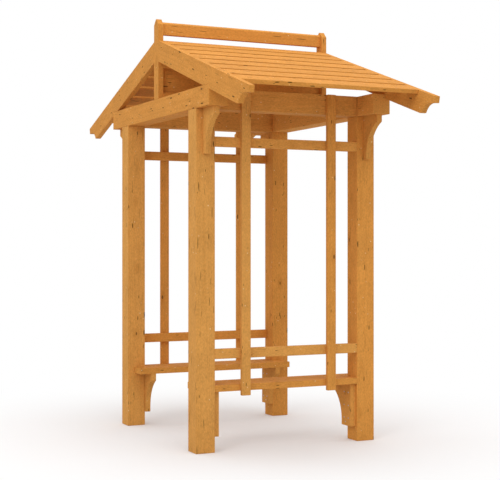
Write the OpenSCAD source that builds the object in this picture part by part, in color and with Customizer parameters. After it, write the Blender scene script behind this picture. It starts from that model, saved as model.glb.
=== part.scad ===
// Timber garden gazebo: four posts, two facing benches between trellis sides, and a boarded gable roof.
// X runs along the ridge and the passage, front and back are the -Y and +Y sides, and Z is up.

/* [Posts] */
// Side of the square posts, tie beams and plates
post_side = 120; // [90:1:140]
// Post height, up to the underside of the beams
post_height = 1995; // [1900:5:2300]
// Length over the posts along the passage
frame_length = 1190; // [1100:5:1500]
// Width over the posts across the passage
frame_width = 1295; // [1200:5:1600]
// How far each tie beam runs out past the posts
tie_overhang = 186; // [180:1:220]

/* [Roof] */
// Slope of the roof, in degrees
roof_pitch = 18; // [14:1:24]
// Depth of the rafters, square to their length
rafter_depth = 125; // [110:1:140]
// Thickness of rafters, king posts, corbels and seat brackets
plank = 34; // [28:1:40]
// Level run from the ridge to the tip of a rafter tail
rafter_run = 1367; // [1340:1:1500]
// How far in from the tie beam's end the underside of a rafter lands on it
heel_inset = 87; // [70:1:110]
// Number of boards on each slope
board_count = 8; // [6:1:8]
// Level run from one roof board to the next
board_spacing = 150; // [120:1:150]
// Thickness of a roof board
board_thickness = 24; // [16:1:28]
// Open joint between two roof boards, along the slope
board_gap = 30; // [20:1:40]

/* [Ridge] */
// Width of the king posts and ridge beam across the ridge
king_width = 76; // [60:1:100]
// Height of the king posts' bevelled tops over the ridge of the roof
king_over_ridge = 126; // [110:1:160]
// Height of the rail over the ridge
ridge_rail_height = 80; // [50:1:90]
// Height of the ridge beam's underside over the tie beams
ridge_beam_rise = 192; // [150:1:230]
// Thickness of the web board under the ridge beam
web_thickness = 18; // [16:1:34]
// Thickness of the sole board under the web
sole_thickness = 38; // [24:1:50]

/* [Sides] */
// Width of trellis slats and rails
slat_width = 58; // [40:1:80]
// Thickness of the slats
slat_thickness = 24; // [18:1:34]
// Thickness of the trellis rails
rail_thickness = 34; // [24:1:40]
// Centre of each slat, from the middle of the side
slat_offset = 285; // [200:1:320]
// Gap between the plate and the upper rail
upper_gap = 159; // [120:1:300]
// Gap between the bench and the lower rail
lower_gap = 153; // [120:1:300]

/* [Benches] */
// Height of the bench tops
seat_height = 390; // [350:1:460]
// Thickness of the bench boards
seat_thickness = 38; // [30:1:50]
// Width of the inner bench board
seat_board = 120; // [90:1:160]
// How far the inner bench boards stop short of the posts' outer faces
seat_end_inset = 45; // [10:1:110]

/* [Brackets] */
// Height of corbels and seat brackets
bracket_height = 263; // [240:1:300]
// Height of their square noses
bracket_nose = 45; // [30:1:60]
// Reach of a corbel from its post
corbel_reach = 165; // [130:1:180]
// Width of a corbel's lower end
corbel_toe = 37; // [25:1:60]
// Height of the straight edge below a corbel's curve
corbel_foot = 26; // [10:1:40]
// How far the seat brackets sit back from the posts' outer faces
bracket_inset = 22; // [5:1:30]
// How far a seat bracket's lower end shows past its post
bracket_toe = 13; // [5:1:30]
// Height of the straight edge below a seat bracket's curve
bracket_foot = 36; // [10:1:50]

/* [Hidden] */

half_length = frame_length / 2;
half_width = frame_width / 2;
clear_length = frame_length - 2 * post_side;
beam_top = post_height + post_side;
tie_end = half_width + tie_overhang;
rise = tan(roof_pitch);
plumb_depth = rafter_depth / cos(roof_pitch);
// Heights of the rafters' underside and top edge, carried on to the middle of the ridge
low_apex = beam_top + (tie_end - heel_inset) * rise;
top_apex = low_apex + plumb_depth;
slope_spacing = board_spacing / cos(roof_pitch);
king_height = top_apex + king_over_ridge - beam_top;
inner_gable = half_length - plank;
ridge_length = 2 * inner_gable;
tail_end = 38;
tail_lean = 8;
tail_flat = 50;
tail_rise = 5;
cove_width = 80;
toe_width = 17;
king_bevel = 35;
king_bevel_inset = 10;
rail_chamfer = 11;
rail_below_top = 17;
slat_below_seat = 27;
arc_steps = 10;
pine = "#c9853c";
pine_light = "#d8994a";
pine_shade = "#b8752f";

// Height of a roof line at a level run y from the ridge, where the line meets the ridge at apex
function roof_z(apex, y) = apex - y * rise;

// Points on a circle from angle a to angle b
function arc(cx, cy, r, a, b) =
    [for (i = [0:arc_steps]) let (t = a + (b - a) * i / arc_steps) [cx + r * cos(t), cy + r * sin(t)]];

// Radius of an arc that starts along one direction, goes along it by travel and leaves it by drift
function arc_radius(travel, drift) = (travel * travel + drift * drift) / (2 * drift);

// Stands a profile drawn in run and height into a plate of the given thickness, from face x along X.
// side is -1 on the front and 1 on the back.
module across(x, thickness, side) {
    translate([x, 0, 0])
        mirror([0, side < 0 ? 1 : 0, 0])
            rotate([90, 0, 90])
                linear_extrude(thickness)
                    children();
}

module post(end, side) {
    color(pine)
        translate([end < 0 ? -half_length : half_length - post_side,
                   side < 0 ? -half_width : half_width - post_side, 0])
            cube([post_side, post_side, post_height]);
}

module tie_beam(end) {
    color(pine_light)
        translate([end < 0 ? -half_length : half_length - post_side, -tie_end, post_height])
            cube([post_side, 2 * tie_end, post_side]);
}

module plate(side) {
    color(pine)
        translate([-clear_length / 2, side < 0 ? -half_width : half_width - post_side, post_height])
            cube([clear_length, post_side, post_side]);
}

// Rafter with a birdsmouth over the tie beam's end. Its tail has a leaning end and a straight soffit that
// rises a little inward, then a cove down to a level toe.
module rafter(end, side) {
    tip = roof_z(top_apex, rafter_run);
    soffit = tip - tail_end;
    cove_run = rafter_run - tail_lean - tail_flat;
    cove_top = soffit + tail_rise;
    toe_run = cove_run - cove_width - toe_width;
    toe = roof_z(low_apex, toe_run);
    r = arc_radius(cove_width, cove_top - toe);
    sweep = asin(cove_width / r);
    outline = concat(
        [[king_width / 2, roof_z(top_apex, king_width / 2)],
         [rafter_run, tip],
         [rafter_run - tail_lean, soffit]],
        arc(cove_run, cove_top - r, r, 90, 90 + sweep),
        [[toe_run, toe],
         [tie_end, roof_z(low_apex, tie_end)],
         [tie_end, beam_top],
         [tie_end - heel_inset, beam_top],
         [king_width / 2, roof_z(low_apex, king_width / 2)]]);
    color(pine_light)
        across(end < 0 ? -half_length : inner_gable, plank, side)
            polygon(outline);
}

// Outline of a post of the given width, its top bevelled from both sides
module bevelled(width) {
    half = width / 2;
    flat = half - king_bevel_inset;
    shoulder = king_height - king_bevel;
    polygon([[-half, 0], [half, 0], [half, shoulder], [flat, king_height],
             [-flat, king_height], [-half, shoulder]]);
}

// King post on the tie beam, through the ridge, with all four sides bevelled at the top
module king_post(end) {
    color(pine_light)
        translate([end * (half_length - plank / 2), 0, beam_top])
            intersection() {
                across(-plank / 2, plank, 1)
                    bevelled(king_width);
                translate([0, king_width / 2, 0])
                    rotate([90, 0, 0])
                        linear_extrude(king_width)
                            bevelled(plank);
            }
}

// Rail between the king posts over the ridge, with its top edges chamfered
module ridge_rail() {
    half = plank / 2;
    top = beam_top + king_height - rail_below_top;
    low = top - ridge_rail_height;
    color(pine_light)
        across(-inner_gable, ridge_length, 1)
            polygon([[-half, low], [half, low], [half, top - rail_chamfer], [half - rail_chamfer, top],
                     [rail_chamfer - half, top], [-half, top - rail_chamfer]]);
}

// Beam between the king posts, its top cut to the undersides of both slopes, so the top boards lie on it
module ridge_beam() {
    half = king_width / 2;
    low = beam_top + ridge_beam_rise;
    peak = top_apex - board_thickness / cos(roof_pitch);
    shoulder = peak - half * rise;
    color(pine_shade)
        across(-inner_gable, ridge_length, 1)
            polygon([[-half, low], [half, low], [half, shoulder], [0, peak], [-half, shoulder]]);
}

module ridge_web() {
    color(pine_shade)
        translate([-inner_gable, -web_thickness / 2, beam_top + sole_thickness])
            cube([ridge_length, web_thickness, ridge_beam_rise - sole_thickness]);
}

module ridge_sole() {
    color(pine_shade)
        translate([-inner_gable, -king_width / 2, beam_top])
            cube([ridge_length, king_width, sole_thickness]);
}

// One slope of open-jointed boards, let in between the rafters with their tops flush. The top board
// lies on the ridge beam's edge, one joint from the middle of the ridge.
// Drawn flat, then tilted: u runs down the slope from the ridge, v is square to the rafters.
module roof_boards(side) {
    color(pine)
        across(-inner_gable, ridge_length, side)
            translate([0, top_apex])
                rotate(-roof_pitch)
                    for (i = [0:board_count - 1])
                        translate([i * slope_spacing + board_gap, -board_thickness])
                            square([slope_spacing - board_gap, board_thickness]);
}

// Concave bracket outline: a square nose at the top, then an arc down to a straight foot.
// It runs from heel to nose, and its lower end is toe wide past zero.
module bracket_profile(heel, nose, toe, foot, top) {
    low = top - bracket_height;
    travel = bracket_height - bracket_nose - foot;
    r = arc_radius(travel, nose - toe);
    sweep = acos(1 - (nose - toe) / r);
    polygon(concat([[heel, low], [heel, top], [nose, top]],
                   arc(toe + r, low + foot, r, 180 - sweep, 180),
                   [[toe, low]]));
}

module corbel(end, side) {
    color(pine_light)
        across(end * (half_length - post_side / 2) - plank / 2, plank, side)
            translate([half_width, 0])
                bracket_profile(0, corbel_reach, corbel_toe, corbel_foot, post_height);
}

module seat_bracket(end, side) {
    inner_face = half_width - post_side;
    color(pine_shade)
        across(end < 0 ? -clear_length / 2 : clear_length / 2 - plank, plank, side)
            translate([inner_face, 0])
                mirror([1, 0])
                    bracket_profile(bracket_inset - post_side, seat_board, bracket_toe, bracket_foot,
                                    seat_height - seat_thickness);
}

module slat(end, side) {
    low = seat_height - seat_thickness - slat_below_seat;
    color(pine)
        translate([end * slat_offset - slat_width / 2,
                   side < 0 ? -half_width - slat_thickness : half_width, low])
            cube([slat_width, slat_thickness, beam_top - low]);
}

module trellis_rail(side, low) {
    color(pine)
        translate([-clear_length / 2, side < 0 ? -half_width : half_width - rail_thickness, low])
            cube([clear_length, rail_thickness, slat_width]);
}

module upper_rail(side) {
    trellis_rail(side, post_height - upper_gap - slat_width);
}

module lower_rail(side) {
    trellis_rail(side, seat_height + lower_gap);
}

// Outer bench board, between the posts
module seat_outer_board(side) {
    color(pine)
        translate([-clear_length / 2, side < 0 ? -half_width : half_width - post_side,
                   seat_height - seat_thickness])
            cube([clear_length, post_side, seat_thickness]);
}

// Inner bench board, past the posts' inner corners
module seat_inner_board(side) {
    length = frame_length - 2 * seat_end_inset;
    inner_face = half_width - post_side;
    color(pine)
        translate([-length / 2, side < 0 ? -inner_face : inner_face - seat_board,
                   seat_height - seat_thickness])
            cube([length, seat_board, seat_thickness]);
}

post(-1, -1);  // front_left_post
post(1, -1);  // front_right_post
post(-1, 1);  // back_left_post
post(1, 1);  // back_right_post
tie_beam(-1);  // left_tie_beam
tie_beam(1);  // right_tie_beam
plate(-1);  // front_plate
plate(1);  // back_plate
rafter(-1, -1);  // left_front_rafter
rafter(-1, 1);  // left_back_rafter
rafter(1, -1);  // right_front_rafter
rafter(1, 1);  // right_back_rafter
king_post(-1);  // left_king_post
king_post(1);  // right_king_post
ridge_rail();
ridge_beam();
ridge_web();
ridge_sole();
roof_boards(-1);  // front_roof_boards
roof_boards(1);  // back_roof_boards
corbel(-1, -1);  // front_left_corbel
corbel(1, -1);  // front_right_corbel
corbel(-1, 1);  // back_left_corbel
corbel(1, 1);  // back_right_corbel
slat(-1, -1);  // front_left_slat
slat(1, -1);  // front_right_slat
slat(-1, 1);  // back_left_slat
slat(1, 1);  // back_right_slat
upper_rail(-1);  // front_upper_rail
lower_rail(-1);  // front_lower_rail
upper_rail(1);  // back_upper_rail
lower_rail(1);  // back_lower_rail
seat_outer_board(-1);  // front_seat_outer_board
seat_inner_board(-1);  // front_seat_inner_board
seat_outer_board(1);  // back_seat_outer_board
seat_inner_board(1);  // back_seat_inner_board
seat_bracket(-1, -1);  // front_left_bracket
seat_bracket(1, -1);  // front_right_bracket
seat_bracket(-1, 1);  // back_left_bracket
seat_bracket(1, 1);  // back_right_bracket
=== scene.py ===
# %% [markdown]
# # An oiled larch garden gazebo
# The timbers arrive as a finished frame, each one at its real size and place, in metres.
# This lesson remakes the tops of the two king posts, gives every timber an oiled larch finish and planed
# arrises, drives the bracket screws, and sets up a pale studio. Nothing here moves a timber.

# %% Load the frame
import math
import random

import bmesh
import bpy
from mathutils import Euler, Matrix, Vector


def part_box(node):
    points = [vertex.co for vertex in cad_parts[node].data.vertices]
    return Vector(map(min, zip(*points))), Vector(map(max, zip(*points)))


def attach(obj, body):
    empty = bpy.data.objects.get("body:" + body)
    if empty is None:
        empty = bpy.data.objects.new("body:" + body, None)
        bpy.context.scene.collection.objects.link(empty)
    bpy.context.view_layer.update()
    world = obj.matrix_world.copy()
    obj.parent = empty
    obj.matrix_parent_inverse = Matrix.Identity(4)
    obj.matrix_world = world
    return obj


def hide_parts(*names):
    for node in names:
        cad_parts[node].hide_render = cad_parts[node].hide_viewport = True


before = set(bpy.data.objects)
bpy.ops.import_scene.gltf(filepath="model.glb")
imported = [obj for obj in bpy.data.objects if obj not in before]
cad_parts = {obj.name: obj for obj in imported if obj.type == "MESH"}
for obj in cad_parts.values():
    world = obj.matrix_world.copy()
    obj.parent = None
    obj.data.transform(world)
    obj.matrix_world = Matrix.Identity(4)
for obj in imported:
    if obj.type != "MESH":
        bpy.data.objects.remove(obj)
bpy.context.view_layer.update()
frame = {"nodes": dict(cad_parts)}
timbers = frame["nodes"]

# %% [markdown]
# ## The camera
# A gazebo is looked at by someone who stands on the lawn, so the lens is at chest height and level,
# which keeps every post upright in the picture. A long lens from nearly eight metres away keeps the near
# post from looking much larger than the far ones. The small shift sets the gazebo in the middle of the
# picture without tilting the lens.

# %% Camera
LAWN_SPOT = (-3.2496, -7.0341, 1.2277)
TURN_TO_GAZEBO = math.radians(-25.15)
QUARTER = math.radians(90)
SENSOR_WIDTH = 36.0
LENS = 86.378
SHIFT_UP = 0.00246

camera_data = bpy.data.cameras.new("lawn_camera")
camera_data.sensor_width = SENSOR_WIDTH
camera_data.lens = LENS
camera_data.shift_y = SHIFT_UP
camera = bpy.data.objects.new("lawn_camera", camera_data)
camera.location = LAWN_SPOT
camera.rotation_euler = (QUARTER, 0, TURN_TO_GAZEBO)
bpy.context.scene.collection.objects.link(camera)
bpy.context.scene.camera = camera
print("camera at", LAWN_SPOT, "m, lens", LENS, "mm")

# %% [markdown]
# ## Colours and nodes
# Timber colours are written the way a colour picker shows them, as sRGB hex. The renderer works in
# linear light, so one function converts them. A second function adds a shader node with its settings
# and its links, so that a material reads as a list of steps. A socket goes by its name or its number.
# On a Map Range node, 0 is the value, 1 and 2 are the ends of the range that it comes from, and 3 and 4
# the ends of the range that it goes to, so a third function makes those four from two pairs. On a Mix
# node for colours, 0 is the amount, and 6 and 7 are the colours.

# %% Helpers for materials
def linear(hex_colour):
    """Linear RGBA of an sRGB hex colour such as "d9964a"."""
    channels = [int(hex_colour[i:i + 2], 16) / 255 for i in (0, 2, 4)]
    return tuple(c / 12.92 if c <= 0.04045 else ((c + 0.055) / 1.055) ** 2.4 for c in channels) + (1.0,)


def add(tree, kind, inputs=None, **settings):
    """Adds a node. settings are the node's own fields; inputs maps a socket to a value or to the
    output that feeds it."""
    made = tree.nodes.new(kind)
    for field, value in settings.items():
        setattr(made, field, value)
    for socket, value in (inputs or {}).items():
        if isinstance(value, bpy.types.NodeSocket):
            tree.links.new(value, made.inputs[socket])
        else:
            made.inputs[socket].default_value = value
    return made


def ranges(come_from, go_to):
    """Inputs 1 to 4 of a Map Range node."""
    return dict(enumerate(come_from + go_to, start=1))


print("sRGB grey 808080 is", round(linear("808080")[0], 3), "in linear light")

# %% [markdown]
# ## Oiled larch, planed
# Larch is a honey-coloured softwood with narrow growth rings, small dark knots, and short dark streaks
# of resin along the grain. Planing leaves it smooth, and oil warms it and leaves a soft, almost matt
# sheen. A sawn timber shows the log it came from: rings run as long lines on its sides and as arcs on
# its ends. A picture wrapped round each stick would break at every corner, so the finish is one solid
# pattern, a log round the X axis, and each timber is cut from its own place in that log.
# Each feature of the log is a function that adds its nodes and returns its mask. A pattern's size is
# given in millimetres, along the log and then across it both ways.

# %% Knots
MM = 0.001
KNOT_RADIUS = 6.0
KNOT_EVERY = (250.0, 110.0, 110.0)
KNOT_EDGE = (0.7, 1.2)
HALO_OUT_TO = 5.0


def cells_per_metre(size):
    """How often a pattern repeats in a metre, from its cell's size in millimetres along X, Y and Z."""
    return tuple(1 / (length * MM) for length in size)


def knots(tree, place):
    """Cut branches: a dark core, and a wider halo that the rings bend round."""
    drawn = add(tree, "ShaderNodeVectorMath", {0: place, 1: cells_per_metre(KNOT_EVERY)},
                operation="MULTIPLY")
    knot = add(tree, "ShaderNodeTexVoronoi", {"Vector": drawn.outputs[0], "Scale": 1.0})
    radius = KNOT_RADIUS / KNOT_EVERY[1]
    edge = tuple(radius * share for share in KNOT_EDGE)
    core = add(tree, "ShaderNodeMapRange", {0: knot.outputs["Distance"]} | ranges(edge, (1.0, 0.0)),
               interpolation_type="SMOOTHSTEP")
    fading = (radius, radius * HALO_OUT_TO)
    halo = add(tree, "ShaderNodeMapRange", {0: knot.outputs["Distance"]} | ranges(fading, (1.0, 0.0)),
               interpolation_type="SMOOTHSTEP")
    return core.outputs[0], halo.outputs[0]


print("knots", 2 * KNOT_RADIUS, "mm across")

# %% [markdown]
# Growth rings in larch lie 2 to 5 mm apart, which is too fine to show from the lawn, so they are drawn
# 9 mm apart and faint. Slow noise along the log makes them wander, and they bend round each knot.

# %% Growth rings
RING_SPACING = 9.0
# At scale 1, a wave texture draws 20 rings in 2 pi metres.
WAVE_SCALE = 2 * math.pi / (20 * RING_SPACING * MM)
SWING_CELL = (952.4, 333.3, 333.3)
SWING = 50.0 * MM
RINGS_RUN_STRAIGHT = 0.04
KNOT_BEND = 0.09
LATE_WOOD_FROM = (0.35, 0.95)


def wandering(tree, place):
    """The place, swung to and fro across the grain as it goes along the log."""
    drawn = add(tree, "ShaderNodeVectorMath", {0: place, 1: cells_per_metre(SWING_CELL)},
                operation="MULTIPLY")
    wander = add(tree, "ShaderNodeTexNoise", {"Vector": drawn.outputs[0], "Scale": 1.0, "Detail": 1.0})
    centred = add(tree, "ShaderNodeVectorMath", {0: wander.outputs["Color"], 1: (0.5, 0.5, 0.5)},
                  operation="SUBTRACT")
    swing = add(tree, "ShaderNodeVectorMath", {0: centred.outputs[0], 1: (0.0, SWING, SWING)},
                operation="MULTIPLY")
    return add(tree, "ShaderNodeVectorMath", {0: place, 1: swing.outputs[0]}, operation="ADD").outputs[0]


def growth_rings(tree, swung, halo):
    """Late wood, the darker half of each ring, from 0 to 1."""
    swell = add(tree, "ShaderNodeMath", {0: halo, 1: KNOT_BEND, 2: 1.0}, operation="MULTIPLY_ADD")
    bent = add(tree, "ShaderNodeVectorMath", {0: swung, "Scale": swell.outputs[0]}, operation="SCALE")
    drawn = add(tree, "ShaderNodeVectorMath", {0: bent.outputs[0], 1: (RINGS_RUN_STRAIGHT, 1.0, 1.0)},
                operation="MULTIPLY")
    rings = add(tree, "ShaderNodeTexWave",
                {"Vector": drawn.outputs[0], "Scale": WAVE_SCALE, "Distortion": 1.6,
                 "Detail": 2.0, "Detail Scale": 0.6, "Detail Roughness": 0.55},
                wave_type="RINGS", rings_direction="X", wave_profile="SAW")
    return add(tree, "ShaderNodeMapRange", {0: rings.outputs["Fac"]} | ranges(LATE_WOOD_FROM, (0.0, 1.0)),
               interpolation_type="SMOOTHSTEP").outputs[0]


print("rings", RING_SPACING, "mm apart")

# %% [markdown]
# Between the rings there are two more things to see. Fibres are fine, broken lines along the grain.
# Real ones are well under a millimetre wide, too fine to show from the lawn, so they are drawn as short
# soft specks, 14 mm long and 7 mm wide. Mottle is the broad, soft cloud of lighter and darker wood that
# planed and oiled larch shows.

# %% Fibres and mottle
FIBRE = (14.0, 7.0, 7.0)
CLOUD = (150.0, 90.0, 90.0)


def fibres(tree, swung):
    """Fibre specks, as a number round 0.5."""
    drawn = add(tree, "ShaderNodeVectorMath", {0: swung, 1: cells_per_metre(FIBRE)}, operation="MULTIPLY")
    return add(tree, "ShaderNodeTexNoise", {"Vector": drawn.outputs[0], "Scale": 1.0, "Detail": 3.0,
                                            "Roughness": 0.6}).outputs["Fac"]


def mottle(tree, place):
    """Broad clouds, as a number round 0.5."""
    drawn = add(tree, "ShaderNodeVectorMath", {0: place, 1: cells_per_metre(CLOUD)}, operation="MULTIPLY")
    return add(tree, "ShaderNodeTexNoise", {"Vector": drawn.outputs[0], "Scale": 1.0, "Detail": 4.0,
                                            "Roughness": 0.62}).outputs["Fac"]


print("fibre specks", FIBRE[0], "by", FIBRE[1], "mm, mottle", CLOUD[0], "by", CLOUD[1], "mm")

# %% [markdown]
# Resin leaves short dark streaks along the grain, up to about 40 mm long, and here and there a dense
# group of finer ones. Where the plane has torn a speck of resin out, a small pale fleck is left. One
# function makes all three. A Voronoi cell is the room for one spindle: a long cell gives a streak drawn
# out along the log, and an even one gives a fleck. A chance number sets the spindle's size, and leaves
# some of the cells empty.

# %% Resin streaks and pale flecks
STREAK_CELL = (120.0, 26.0, 26.0)
STREAK_REACH = 0.18
STREAKS_IN_TEN = 6
FINE_STREAK_CELL = (62.0, 12.0, 12.0)
FINE_STREAK_REACH = 0.30
FINE_STREAKS_IN_TEN = 8
FINE_STREAKS_SHOW = 0.9
GROUP_OF_FINE_STREAKS = (95.0, 42.0, 42.0)
GROUP_EDGE = (0.58, 0.64)
FLECK_CELL = (34.0, 34.0, 34.0)
FLECK_REACH = 0.14
FLECKS_IN_TEN = 8
EDGE_SOFTNESS = 0.04


def spindles(tree, place, cell, reach, in_ten):
    """Mask of spindles. reach is the largest one's half length as a share of its cell, and in_ten says
    how many cells out of ten hold one."""
    drawn = add(tree, "ShaderNodeVectorMath", {0: place, 1: cells_per_metre(cell)}, operation="MULTIPLY")
    room = add(tree, "ShaderNodeTexVoronoi", {"Vector": drawn.outputs[0], "Scale": 1.0})
    chance = add(tree, "ShaderNodeSeparateColor", {0: room.outputs["Color"]})
    size = add(tree, "ShaderNodeMapRange",
               {0: chance.outputs[0]} | ranges((1 - in_ten / 10, 1.0), (0.0, reach)))
    inside = add(tree, "ShaderNodeMath", {0: size.outputs[0], 1: room.outputs["Distance"]},
                 operation="SUBTRACT")
    return add(tree, "ShaderNodeMapRange",
               {0: inside.outputs[0]} | ranges((0.0, EDGE_SOFTNESS), (0.0, 1.0)),
               interpolation_type="SMOOTHSTEP").outputs[0]


def resin_streaks(tree, swung, place):
    """Single streaks, and fine ones that fill a few small patches."""
    single = spindles(tree, swung, STREAK_CELL, STREAK_REACH, STREAKS_IN_TEN)
    fine = spindles(tree, swung, FINE_STREAK_CELL, FINE_STREAK_REACH, FINE_STREAKS_IN_TEN)
    spread = add(tree, "ShaderNodeVectorMath", {0: place, 1: cells_per_metre(GROUP_OF_FINE_STREAKS)},
                 operation="MULTIPLY")
    cloud = add(tree, "ShaderNodeTexNoise", {"Vector": spread.outputs[0], "Scale": 1.0, "Detail": 1.0})
    group = add(tree, "ShaderNodeMapRange",
                {0: cloud.outputs["Fac"]} | ranges(GROUP_EDGE, (0.0, FINE_STREAKS_SHOW)))
    grouped = add(tree, "ShaderNodeMath", {0: fine, 1: group.outputs[0]}, operation="MULTIPLY")
    return add(tree, "ShaderNodeMath", {0: single, 1: grouped.outputs[0]}, operation="MAXIMUM").outputs[0]


print("streaks up to", round((2 * STREAK_REACH - EDGE_SOFTNESS) * STREAK_CELL[0]), "mm long")

# %% [markdown]
# A thick post dries from the outside in, and its skin opens in drying checks: hairline cracks along
# the grain, up to about 80 mm long. Hairlines are too fine to show from the lawn, so they are drawn up
# to 6 mm wide. Here one corner post and the rail over the ridge have checked clearly, and the other
# timbers only a little, so each timber says how much it does.

# %% Drying checks
CHECK_CELL = (170.0, 12.0, 12.0)
CHECK_REACH = 0.26
CHECKS_IN_TEN = 9


def drying_checks(tree, swung, amount):
    """Mask of checks. amount is how clearly one timber shows them."""
    cracks = spindles(tree, swung, CHECK_CELL, CHECK_REACH, CHECKS_IN_TEN)
    return add(tree, "ShaderNodeMath", {0: cracks, 1: amount}, operation="MULTIPLY").outputs[0]


print("checks up to", round((2 * CHECK_REACH - EDGE_SOFTNESS) * CHECK_CELL[0]), "mm long")

# %% [markdown]
# The log's colour starts with early and late wood, which differ little here. Mottle, fibres and end
# grain lighten and darken it, and knots, streaks and flecks are laid over that. End grain drinks more
# oil, so it is darker. Tint, Tone and Checks belong to one timber: sticks from one stack differ a
# little.

# %% Colour of the log
EARLY_WOOD = linear("dea156")
LATE_WOOD = linear("c3853c")
PLAIN_WOOD = linear("d3964b")
RINGS_SHOW = 0.18
# Most of a noise texture's values lie in this span.
NOISE_SPAN = (0.3, 0.7)
MOTTLE_SHADES = (0.93, 1.07)
FIBRE_SHADES = (0.86, 1.14)
END_ON = (0.75, 0.95)
END_GRAIN_SHADE = 0.95


def shade_of(tree, cloud, fibre, facing, tone):
    """How light or dark the wood is at a point, from 1 for plain."""
    patched = add(tree, "ShaderNodeMapRange", {0: cloud} | ranges(NOISE_SPAN, MOTTLE_SHADES))
    fibred = add(tree, "ShaderNodeMapRange", {0: fibre} | ranges(NOISE_SPAN, FIBRE_SHADES))
    surface = add(tree, "ShaderNodeMath", {0: patched.outputs[0], 1: fibred.outputs[0]},
                  operation="MULTIPLY")
    toned = add(tree, "ShaderNodeMath", {0: surface.outputs[0], 1: tone}, operation="MULTIPLY")
    along = add(tree, "ShaderNodeSeparateXYZ", {0: facing})
    faces_along = add(tree, "ShaderNodeMath", {0: along.outputs[0]}, operation="ABSOLUTE")
    end_grain = add(tree, "ShaderNodeMapRange",
                    {0: faces_along.outputs[0]} | ranges(END_ON, (1.0, END_GRAIN_SHADE)))
    return add(tree, "ShaderNodeMath", {0: toned.outputs[0], 1: end_grain.outputs[0]},
               operation="MULTIPLY").outputs[0]


def lay_over(tree, under, mask, strength, colour):
    """Lays a colour over another where the mask says, at the given strength."""
    amount = add(tree, "ShaderNodeMath", {0: mask, 1: strength}, operation="MULTIPLY")
    return add(tree, "ShaderNodeMix", {0: amount.outputs[0], 6: under, 7: colour},
               data_type="RGBA").outputs[2]


print("early wood", [round(c, 2) for c in EARLY_WOOD], "late wood", [round(c, 2) for c in LATE_WOOD])

# %% [markdown]
# ## One log for every timber
# All of this goes into one node group, so that every timber's material shares it. A place in the log and
# the way that the surface faces go in, and colour, roughness and height come out. Late wood is the
# harder of the two, so it stands a little proud, and the streaks lie a little low.

# %% The log that every timber is cut from
RESIN = linear("50390f")
CHECKS_SHOW = 0.75
STREAKS_SHOW = 0.9
KNOT_HALO = linear("a4631f")
HALOS_SHOW = 0.25
KNOT_CORE = linear("4a2c12")
KNOTS_SHOW = 0.75
FLECK_PALE = linear("efd7a4")
FLECKS_SHOW = 0.7
OILED_ROUGHNESS = (0.85, 0.75)
LATE_WOOD_PROUD = 0.6
STREAKS_PROUD = -1.2
LOG_INPUTS = {"Place": "NodeSocketVector", "Facing": "NodeSocketVector", "Tint": "NodeSocketColor",
              "Tone": "NodeSocketFloat", "Checks": "NodeSocketFloat"}
LOG_OUTPUTS = {"Colour": "NodeSocketColor", "Roughness": "NodeSocketFloat", "Height": "NodeSocketFloat"}


def larch_log():
    """Node group: a place in the log gives colour, roughness and height."""
    tree = bpy.data.node_groups.new("larch_log", "ShaderNodeTree")
    for name, kind in LOG_INPUTS.items():
        tree.interface.new_socket(name, in_out="INPUT", socket_type=kind)
    for name, kind in LOG_OUTPUTS.items():
        tree.interface.new_socket(name, in_out="OUTPUT", socket_type=kind)
    given = add(tree, "NodeGroupInput").outputs
    place = given["Place"]
    core, halo = knots(tree, place)
    swung = wandering(tree, place)
    late = growth_rings(tree, swung, halo)
    fibre = fibres(tree, swung)
    streak = resin_streaks(tree, swung, place)
    checks = drying_checks(tree, swung, given["Checks"])
    flecks = spindles(tree, place, FLECK_CELL, FLECK_REACH, FLECKS_IN_TEN)
    shade = shade_of(tree, mottle(tree, place), fibre, given["Facing"], given["Tone"])

    ringed = lay_over(tree, EARLY_WOOD, late, 1.0, LATE_WOOD)
    plain = add(tree, "ShaderNodeMix", {0: RINGS_SHOW, 6: PLAIN_WOOD, 7: ringed}, data_type="RGBA")
    tinted = add(tree, "ShaderNodeVectorMath", {0: plain.outputs[2], 1: given["Tint"]},
                 operation="MULTIPLY")
    body = add(tree, "ShaderNodeVectorMath", {0: tinted.outputs[0], "Scale": shade}, operation="SCALE")
    colour = lay_over(tree, body.outputs[0], checks, CHECKS_SHOW, RESIN)
    colour = lay_over(tree, colour, streak, STREAKS_SHOW, RESIN)
    colour = lay_over(tree, colour, halo, HALOS_SHOW, KNOT_HALO)
    colour = lay_over(tree, colour, core, KNOTS_SHOW, KNOT_CORE)
    colour = lay_over(tree, colour, flecks, FLECKS_SHOW, FLECK_PALE)

    rough = add(tree, "ShaderNodeMapRange", {0: fibre} | ranges(NOISE_SPAN, OILED_ROUGHNESS))
    ridged = add(tree, "ShaderNodeMath", {0: late, 1: LATE_WOOD_PROUD, 2: fibre}, operation="MULTIPLY_ADD")
    height = add(tree, "ShaderNodeMath", {0: streak, 1: STREAKS_PROUD, 2: ridged.outputs[0]},
                 operation="MULTIPLY_ADD")
    add(tree, "NodeGroupOutput",
        {"Colour": colour, "Roughness": rough.outputs[0], "Height": height.outputs[0]})
    return tree


log = larch_log()
print("larch_log has", len(log.nodes), "nodes")

# %% [markdown]
# ## A material for each timber
# The Mapping node carries a point of the gazebo into the log: it turns the timber's grain onto the
# log's length, and sets how far the timber lies from the pith. The skin is a plain Principled shader:
# wood has an IOR near 1.5, and open, oiled fibres scatter so much that little of the sheen is left,
# which is why the specular level is low and the roughness high.

# %% Oiled larch
PLANED_RELIEF = 0.4 * MM
RELIEF_SHOWS = 0.5
WOOD_IOR = 1.48
SHEEN_LEFT = 0.12


def empty_material(name):
    """A new material and its node tree, with no nodes in it yet."""
    material = bpy.data.materials.new(name)
    material.use_nodes = True
    material.node_tree.nodes.clear()
    return material, material.node_tree


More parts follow.
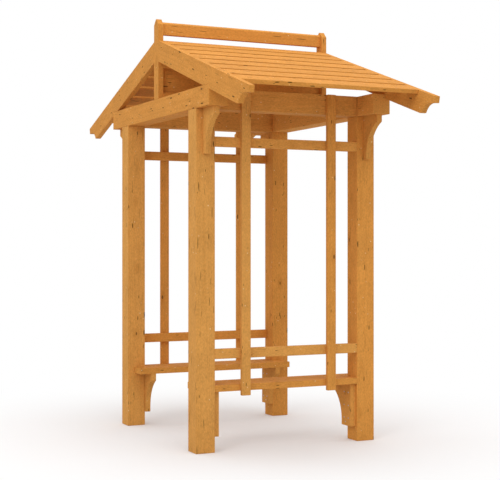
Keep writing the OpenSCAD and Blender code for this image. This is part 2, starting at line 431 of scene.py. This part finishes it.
def oiled_larch(name, place, facing, tint, tone, checks):
    """Material of planed and oiled larch. place, facing and tone are functions that add their nodes to
    the material's tree and return what feeds the log. checks says how clearly drying checks show."""
    material, tree = empty_material("oiled larch, planed, " + name)
    wood = add(tree, "ShaderNodeGroup", {"Place": place(tree), "Facing": facing(tree), "Tint": tint,
                                         "Tone": tone(tree), "Checks": checks}, node_tree=log)
    relief = add(tree, "ShaderNodeBump", {"Height": wood.outputs["Height"], "Strength": RELIEF_SHOWS,
                                          "Distance": PLANED_RELIEF})
    skin = add(tree, "ShaderNodeBsdfPrincipled", {"Base Color": wood.outputs["Colour"],
                                                  "Roughness": wood.outputs["Roughness"],
                                                  "IOR": WOOD_IOR, "Specular IOR Level": SHEEN_LEFT,
                                                  "Normal": relief.outputs[0]})
    add(tree, "ShaderNodeOutputMaterial", {"Surface": skin.outputs[0]})
    return material


def sawn_from(turn, middle, offset):
    """Functions that give place and facing for a timber. turn brings its grain onto the log's X,
    middle is the timber's centre, and offset is where that centre lies in the log."""
    spin = Euler(turn)
    shift = Vector(offset) - spin.to_matrix() @ middle

    def place(tree):
        here = add(tree, "ShaderNodeTexCoord")
        return add(tree, "ShaderNodeMapping", {"Vector": here.outputs["Object"], "Location": shift,
                                               "Rotation": spin}).outputs[0]

    def facing(tree):
        geometry = add(tree, "ShaderNodeNewGeometry")
        return add(tree, "ShaderNodeMapping", {"Vector": geometry.outputs["True Normal"], "Rotation": spin},
                   vector_type="VECTOR").outputs[0]

    return place, facing


print("relief", PLANED_RELIEF / MM, "mm")

# %% [markdown]
# Grain follows the length of a stick: up a post, along a beam, down the slope of a rafter. Corbels and
# brackets are sawn from upright offcuts. Posts and beams are cut with the pith inside, and boards from
# beside it, so their rings run as nearly straight lines.

# %% How each timber is sawn
ROOF_PITCH = math.radians(18)
LOG_REACH = 40.0
PITH_INSIDE = 0.03
PITH_BESIDE = (0.05, 0.12)
UPRIGHT = ("post", "slat", "corbel", "bracket")
HEAVY = ("left_post", "right_post", "tie_beam", "plate")


def grain_turn(name):
    """Which way a timber's grain runs, as the turn that lays it along the log."""
    if name.endswith("rafter"):
        return (ROOF_PITCH if "back" in name else -ROOF_PITCH, 0, -QUARTER)
    if name.endswith("tie_beam"):
        return (0, 0, -QUARTER)
    return (0, QUARTER, 0) if name.endswith(UPRIGHT) else (0, 0, 0)


def pith_offset(name, chance):
    """Where the middle of a timber lies in the log, in metres: along it, then across from the pith."""
    along = chance.uniform(-LOG_REACH, LOG_REACH)
    if name.endswith(HEAVY):
        return (along, chance.uniform(-PITH_INSIDE, PITH_INSIDE), chance.uniform(-PITH_INSIDE, PITH_INSIDE))
    angle = chance.uniform(0, 2 * math.pi)
    out = chance.uniform(*PITH_BESIDE)
    return (along, out * math.cos(angle), out * math.sin(angle))


print("rafter grain slopes at", round(math.degrees(ROOF_PITCH)), "degrees")

# %% [markdown]
# ## King post tops
# Each king post stands up past the roof, and its top sheds rain forward and back over long bevels. The
# frame's king posts are bevelled on all four sides, so these two are remade: the outline of the post's
# broad face is one ring of points, and a second ring a plank's thickness away closes it into a solid.

# %% Remake the king posts
TOP_BEVEL_IN = 33 * MM
TOP_BEVEL_DOWN = 35 * MM
KING_POSTS = ("left_king_post", "right_king_post")


def put_in_scene(name, shape):
    """Makes an object of a finished bmesh and puts it in the scene."""
    mesh = bpy.data.meshes.new(name)
    shape.to_mesh(mesh)
    shape.free()
    made = bpy.data.objects.new(name, mesh)
    bpy.context.scene.collection.objects.link(made)
    return made


def king_post(node):
    """A king post in its node's box, its top bevelled to front and back only."""
    (x_low, front, foot), (x_high, back, top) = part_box(node)
    outline = [(front, foot), (back, foot), (back, top - TOP_BEVEL_DOWN), (back - TOP_BEVEL_IN, top),
               (front + TOP_BEVEL_IN, top), (front, top - TOP_BEVEL_DOWN)]
    shape = bmesh.new()
    near, far = [[shape.verts.new((x, y, z)) for y, z in outline] for x in (x_low, x_high)]
    shape.faces.new(near)
    shape.faces.new(far)
    for i in range(len(outline)):
        shape.faces.new((near[i - 1], near[i], far[i], far[i - 1]))
    bmesh.ops.recalc_face_normals(shape, faces=shape.faces)
    post = put_in_scene(node + "_remade", shape)
    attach(post, "root")
    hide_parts(node)
    return post


timbers = timbers | {name: king_post(name) for name in KING_POSTS}
print("king posts remade, with", [len(timbers[name].data.polygons) for name in KING_POSTS], "faces")

# %% [markdown]
# Sticks also differ in warmth and in lightness. Heartwood is redder than sapwood, and here the near
# left corner came from a paler log than the rest. Warmth runs from 0, pale, to 1, where the tint takes
# out some green and more blue. A few sticks took less oil, so they are a little lighter.

# %% Cut and oil every timber
WARM_TINT = linear("fbf1e0")
PALE_TIMBERS = ("front_left_post", "back_left_post", "front_left_slat", "front_lower_rail",
                "front_left_corbel", "front_left_bracket", "back_left_bracket")
MIDDLING_TIMBERS = ("front_upper_rail", "front_plate", "back_plate", "back_left_corbel",
                    "front_right_corbel", "back_right_corbel", "front_right_bracket",
                    "back_right_bracket", "back_right_slat", "right_tie_beam")
LIGHT_TIMBERS = ("front_right_post", "back_right_slat", "back_lower_rail", "front_upper_rail",
                 "ridge_rail", "right_tie_beam", "front_right_bracket")
LIGHTER = 1.05
TONES = (0.98, 1.02)
CHECKED_TIMBERS = ("front_left_post", "ridge_rail")
CLEAR_CHECKS = 0.9
CHECKS_ELSEWHERE = 0.35


def warmth_of(name):
    """How warm a stick is, from 0 to 1."""
    if name in PALE_TIMBERS:
        return 0.0
    return 0.5 if name in MIDDLING_TIMBERS else 1.0


def tint_for(warmth):
    """White for a pale stick, and the warm tint for a red one."""
    return tuple(1 + warmth * (c - 1) for c in WARM_TINT)


def even_tone(value):
    """A tone that is the same all over one timber: it adds no node."""
    return lambda tree: value


def middle_of(name):
    lowest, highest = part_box(name)
    return (Vector(lowest) + Vector(highest)) / 2


def put_on(timber, finish):
    timber.data.materials.clear()
    timber.data.materials.append(finish)


sticks = [name for name in sorted(timbers) if not name.endswith("roof_boards")]
for name in sticks:
    chance = random.Random(name)
    place, facing = sawn_from(grain_turn(name), middle_of(name), pith_offset(name, chance))
    tone = even_tone(chance.uniform(*TONES) * (LIGHTER if name in LIGHT_TIMBERS else 1.0))
    checks = CLEAR_CHECKS if name in CHECKED_TIMBERS else CHECKS_ELSEWHERE
    put_on(timbers[name], oiled_larch(name, place, facing, tint_for(warmth_of(name)), tone, checks))
print(len(sticks), "sticks oiled, each in its own material")

# %% [markdown]
# ## Roof boards
# Each slope carries eight flat boards with open joints, so rain runs off and a little light falls
# through. One mesh holds a slope's eight boards, which don't touch each other. Random Per Island is a
# number that is the same all over one board and different on the next, so it serves to cut each board
# from another part of the log and to make some boards a little lighter.

# %% Oil the roof boards
BOARDS_LIE_APART = (30.0, 0.06, 0.06)
BOARD_TONES = (0.95, 1.05)
SLOPES = {"front_roof_boards": (-ROOF_PITCH, (-3.0, 0.05, 0.02)),
          "back_roof_boards": (ROOF_PITCH, (3.0, 0.05, 0.02))}


def board_numbers(tree):
    """Chance numbers that are the same all over one board."""
    island = add(tree, "ShaderNodeNewGeometry").outputs["Random Per Island"]
    return add(tree, "ShaderNodeTexWhiteNoise", {"W": island}, noise_dimensions="1D")


def board_cut(turn, middle, offset):
    """Like sawn_from, but each board comes from its own part of the log."""
    slope_place, facing = sawn_from(turn, middle, offset)

    def place(tree):
        apart = add(tree, "ShaderNodeVectorMath", {0: board_numbers(tree).outputs["Color"],
                                                   1: BOARDS_LIE_APART}, operation="MULTIPLY")
        return add(tree, "ShaderNodeVectorMath", {0: slope_place(tree), 1: apart.outputs[0]},
                   operation="ADD").outputs[0]

    return place, facing


def board_tone(tree):
    """A tone that is even on one board and different on the next."""
    return add(tree, "ShaderNodeMapRange",
               {0: board_numbers(tree).outputs["Value"]} | ranges((0.0, 1.0), BOARD_TONES)).outputs[0]


for name, (slope, offset) in SLOPES.items():
    place, facing = board_cut((slope, 0, 0), middle_of(name), offset)
    put_on(timbers[name], oiled_larch(name, place, facing, WARM_TINT, board_tone, CHECKS_ELSEWHERE))
print("boards oiled:", [timbers[name].data.materials[0].name for name in SLOPES])

# %% [markdown]
# ## Planed arrises
# A planed timber never has a knife edge. The mill rounds the long arrises of squared timber by about
# 3 mm, and shaped pieces and roof boards get one light pass of the plane, which takes off 1 mm. Where
# two timbers meet flush, the eased arrises leave a fine groove that the eye reads as the joint. The CAD
# solids have sharp edges, so a Weld modifier joins their faces and a Bevel modifier eases every real
# corner. Modifiers leave the frame's own mesh as it is.

# %% Ease the arrises
MILLED_ARRIS = 3.0 * MM
PLANED_ARRIS = 1.0 * MM
MILLED = HEAVY + ("slat", "lower_rail", "upper_rail", "_board")
WELD_REACH = 0.01 * MM
ARRIS_STEPS = 2
SHARP_CORNER = math.radians(25)


def ease_arrises(timber, width):
    weld = timber.modifiers.new("weld", "WELD")
    weld.merge_threshold = WELD_REACH
    ease = timber.modifiers.new("arris", "BEVEL")
    ease.width = width
    ease.segments = ARRIS_STEPS
    ease.limit_method = "ANGLE"
    ease.angle_limit = SHARP_CORNER


for name, timber in timbers.items():
    ease_arrises(timber, MILLED_ARRIS if name.endswith(MILLED) else PLANED_ARRIS)
print("arrises eased by", MILLED_ARRIS / MM, "mm, on shaped pieces by", PLANED_ARRIS / MM, "mm")

# %% [markdown]
# ## Bracket screws
# Seven zinc-plated screws hold each seat bracket to its post. Only their heads show: low domes 8.4 mm
# across with a six-lobed recess. A head is a stack of rings, turned like a pot on a wheel, and the
# recess rings follow a wavy radius.

# %% Screw heads
HEAD_RADIUS = 4.2 * MM
HEAD_SINK = 1.0 * MM
HEAD_PROUD = 1.6 * MM
RECESS_RADIUS = 1.6 * MM
RECESS_LOBE = 0.3 * MM
RECESS_FLOOR = 0.7 * MM
HEAD_STEPS = 24
LOBES = 6
DOME = ((1.0, 0.25), (0.94, 0.55), (0.78, 0.85), (0.55, 1.0))


def ring(shape, place, out, radius, lobe, height):
    """One ring of a head's points. out is the way that the head faces, along X."""
    made = []
    for step in range(HEAD_STEPS):
        angle = 2 * math.pi * step / HEAD_STEPS
        reach = radius + lobe * math.cos(LOBES * angle)
        made.append(shape.verts.new((place[0] + out * height, place[1] + reach * math.cos(angle),
                                     place[2] + reach * math.sin(angle))))
    return made


def add_head(shape, place, out):
    """A screw head on a bracket face, with its recess."""
    rings = [ring(shape, place, out, HEAD_RADIUS, 0, -HEAD_SINK)]
    rings += [ring(shape, place, out, HEAD_RADIUS * share, 0, HEAD_PROUD * level)
              for share, level in DOME]
    rings += [ring(shape, place, out, RECESS_RADIUS, RECESS_LOBE, level)
              for level in (HEAD_PROUD, RECESS_FLOOR)]
    for lower, upper in zip(rings, rings[1:]):
        for i in range(HEAD_STEPS):
            after = (i + 1) % HEAD_STEPS
            shape.faces.new((lower[i], lower[after], upper[after], upper[i]))
    shape.faces.new(rings[0])
    shape.faces.new(rings[-1])


print("heads", 2 * HEAD_RADIUS / MM, "mm across, proud by", HEAD_PROUD / MM, "mm")

# %% [markdown]
# Six of a bracket's screws stand in two columns of three on its broad face, and the seventh sits in its
# foot. Their places are taken from the bracket's own box: in from its outer edge, and down from its top.
# Zinc plate is a dull, slightly blue-grey metal. Its sheen varies from speck to speck, about 1 mm across,
# which only a close look shows. No screw moves on its own, so all the heads are one mesh.

# %% Drive the screws
SCREW_ROWS = (56.0 * MM, 136.0 * MM, 214.0 * MM)
SCREW_COLUMNS = (26.5 * MM, 78.5 * MM)
TOE_SCREW = (62.5 * MM, 240.0 * MM)
ZINC = linear("c9cbcc")
SPANGLE = (1.1, 1.1, 1.1)
ZINC_ROUGHNESS = (0.38, 0.5)


def screw_places(bracket):
    """Where the screws of one bracket go, and which way they face."""
    lowest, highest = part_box(bracket)
    out = 1 if lowest[0] < 0 else -1
    face = highest[0] if out > 0 else lowest[0]
    outer, inward = (highest[1], -1) if highest[1] > 0 else (lowest[1], 1)
    spots = [(across, down) for across in SCREW_COLUMNS for down in SCREW_ROWS] + [TOE_SCREW]
    return [((face, outer + inward * across, highest[2] - down), out) for across, down in spots]


def zinc_plate():
    """Material of the heads: pressed steel with a dull zinc coat, uneven from one spangle to the next."""
    material, tree = empty_material("zinc-plated steel, pressed")
    here = add(tree, "ShaderNodeTexCoord")
    drawn = add(tree, "ShaderNodeVectorMath", {0: here.outputs["Object"], 1: cells_per_metre(SPANGLE)},
                operation="MULTIPLY")
    spangle = add(tree, "ShaderNodeTexNoise", {"Vector": drawn.outputs[0], "Scale": 1.0})
    dull = add(tree, "ShaderNodeMapRange", {0: spangle.outputs["Fac"]} | ranges(NOISE_SPAN, ZINC_ROUGHNESS))
    skin = add(tree, "ShaderNodeBsdfPrincipled", {"Base Color": ZINC, "Metallic": 1.0,
                                                  "Roughness": dull.outputs[0]})
    add(tree, "ShaderNodeOutputMaterial", {"Surface": skin.outputs[0]})
    return material


shape = bmesh.new()
brackets = sorted(name for name in timbers if name.endswith("bracket"))
driven = [spot for bracket in brackets for spot in screw_places(bracket)]
for place, out in driven:
    add_head(shape, place, out)
bmesh.ops.recalc_face_normals(shape, faces=shape.faces)
screws = put_in_scene("bracket_screws", shape)
put_on(screws, zinc_plate())
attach(screws, "root")
print(len(driven), "screw heads")

# %% [markdown]
# ## The floor
# The gazebo stands on white studio paper that runs out into white. Close in, the paper keeps the
# gazebo's soft shadow. Further out it fades to plain white where the camera looks at it. Light that
# bounces off the paper onto the timber comes from a slightly greyer paper, as real paper is.

# %% Studio floor
FLOOR_RADIUS = 40.0
FLOOR_EDGES = 96
SHADOW_REACH = (0.9, 2.8)
PLAIN_WHITE_SHARE = (0.12, 1.0)
PAPER_SEEN = linear("efeeee")
PAPER_BOUNCING = linear("d4d3d2")
WHITE = (1.0, 1.0, 1.0, 1.0)


def studio_paper():
    """Material of matt paper that fades to plain white away from the gazebo."""
    material, tree = empty_material("matt white studio paper")
    here = add(tree, "ShaderNodeTexCoord")
    far = add(tree, "ShaderNodeVectorMath", {0: here.outputs["Object"]}, operation="LENGTH")
    fade = add(tree, "ShaderNodeMapRange",
               {0: far.outputs["Value"]} | ranges(SHADOW_REACH, PLAIN_WHITE_SHARE),
               interpolation_type="SMOOTHSTEP")
    looked_at = add(tree, "ShaderNodeLightPath").outputs["Is Camera Ray"]
    seen = add(tree, "ShaderNodeMath", {0: fade.outputs[0], 1: looked_at}, operation="MULTIPLY")
    whiteness = add(tree, "ShaderNodeMix", {0: looked_at, 6: PAPER_BOUNCING, 7: PAPER_SEEN},
                    data_type="RGBA")
    paper = add(tree, "ShaderNodeBsdfDiffuse", {"Color": whiteness.outputs[2]})
    white = add(tree, "ShaderNodeEmission", {"Color": WHITE, "Strength": 1.0})
    mixed = add(tree, "ShaderNodeMixShader", {0: seen.outputs[0], 1: paper.outputs[0], 2: white.outputs[0]})
    add(tree, "ShaderNodeOutputMaterial", {"Surface": mixed.outputs[0]})
    return material


disc = bmesh.new()
bmesh.ops.create_circle(disc, cap_ends=True, radius=FLOOR_RADIUS, segments=FLOOR_EDGES)
floor = put_in_scene("studio_floor", disc)
put_on(floor, studio_paper())
print("floor radius", FLOOR_RADIUS, "m, shadow fades out by", SHADOW_REACH[1], "m")

# %% [markdown]
# ## The light
# Soft light from all round comes from the world, which is white where the camera, gloss or glass looks
# at it and greyer where it lights the timber. Three broad, soft lamps add shape: one to the front left,
# a stronger one overhead, which brightens the roof and falls through its open joints, and a weak one
# high in front. Together they light the timber so that its colours render about as written.

# %% World and lamps
WORLD_LIGHTS_WITH = 0.88


def studio_world(strength):
    """Soft light from all round, of the given strength on the timber, and white to look at."""
    world = bpy.data.worlds.new("soft_studio")
    bpy.context.scene.world = world
    world.use_nodes = True
    tree = world.node_tree
    tree.nodes.clear()
    rays = add(tree, "ShaderNodeLightPath").outputs
    seen = add(tree, "ShaderNodeMath", {0: rays["Is Camera Ray"], 1: rays["Is Glossy Ray"]},
               operation="MAXIMUM")
    seen_through = add(tree, "ShaderNodeMath", {0: seen.outputs[0], 1: rays["Is Transmission Ray"]},
                       operation="MAXIMUM")
    lighting = add(tree, "ShaderNodeBackground", {"Color": WHITE, "Strength": strength})
    backdrop = add(tree, "ShaderNodeBackground", {"Color": WHITE, "Strength": 1.0})
    mixed = add(tree, "ShaderNodeMixShader", {0: seen_through.outputs[0], 1: lighting.outputs[0],
                                              2: backdrop.outputs[0]})
    add(tree, "ShaderNodeOutputWorld", {"Surface": mixed.outputs[0]})


def soft_lamp(name, place, target, size, power):
    """A round soft lamp, turned to its target. Places and size are in metres, and power is in watts."""
    data = bpy.data.lights.new(name, "AREA")
    data.shape = "DISK"
    data.size = size
    data.energy = power
    lamp = bpy.data.objects.new(name, data)
    lamp.location = place
    lamp.rotation_euler = (Vector(target) - Vector(place)).to_track_quat("-Z", "Y").to_euler()
    bpy.context.scene.collection.objects.link(lamp)
    return lamp


studio_world(WORLD_LIGHTS_WITH)
lamps = [soft_lamp("front_left_softbox", (-7.0, -5.5, 6.5), (0.0, 0.0, 1.0), size=5.0, power=165),
         soft_lamp("overhead_softbox", (0.0, 0.0, 9.0), (0.0, 0.0, 0.0), size=6.0, power=192),
         soft_lamp("high_front_softbox", (0.0, -6.0, 8.0), (0.0, 0.0, 1.2), size=4.0, power=68)]
bpy.context.scene.view_settings.view_transform = "Standard"
print(len(lamps), "lamps of", sum(lamp.data.energy for lamp in lamps), "W in all")
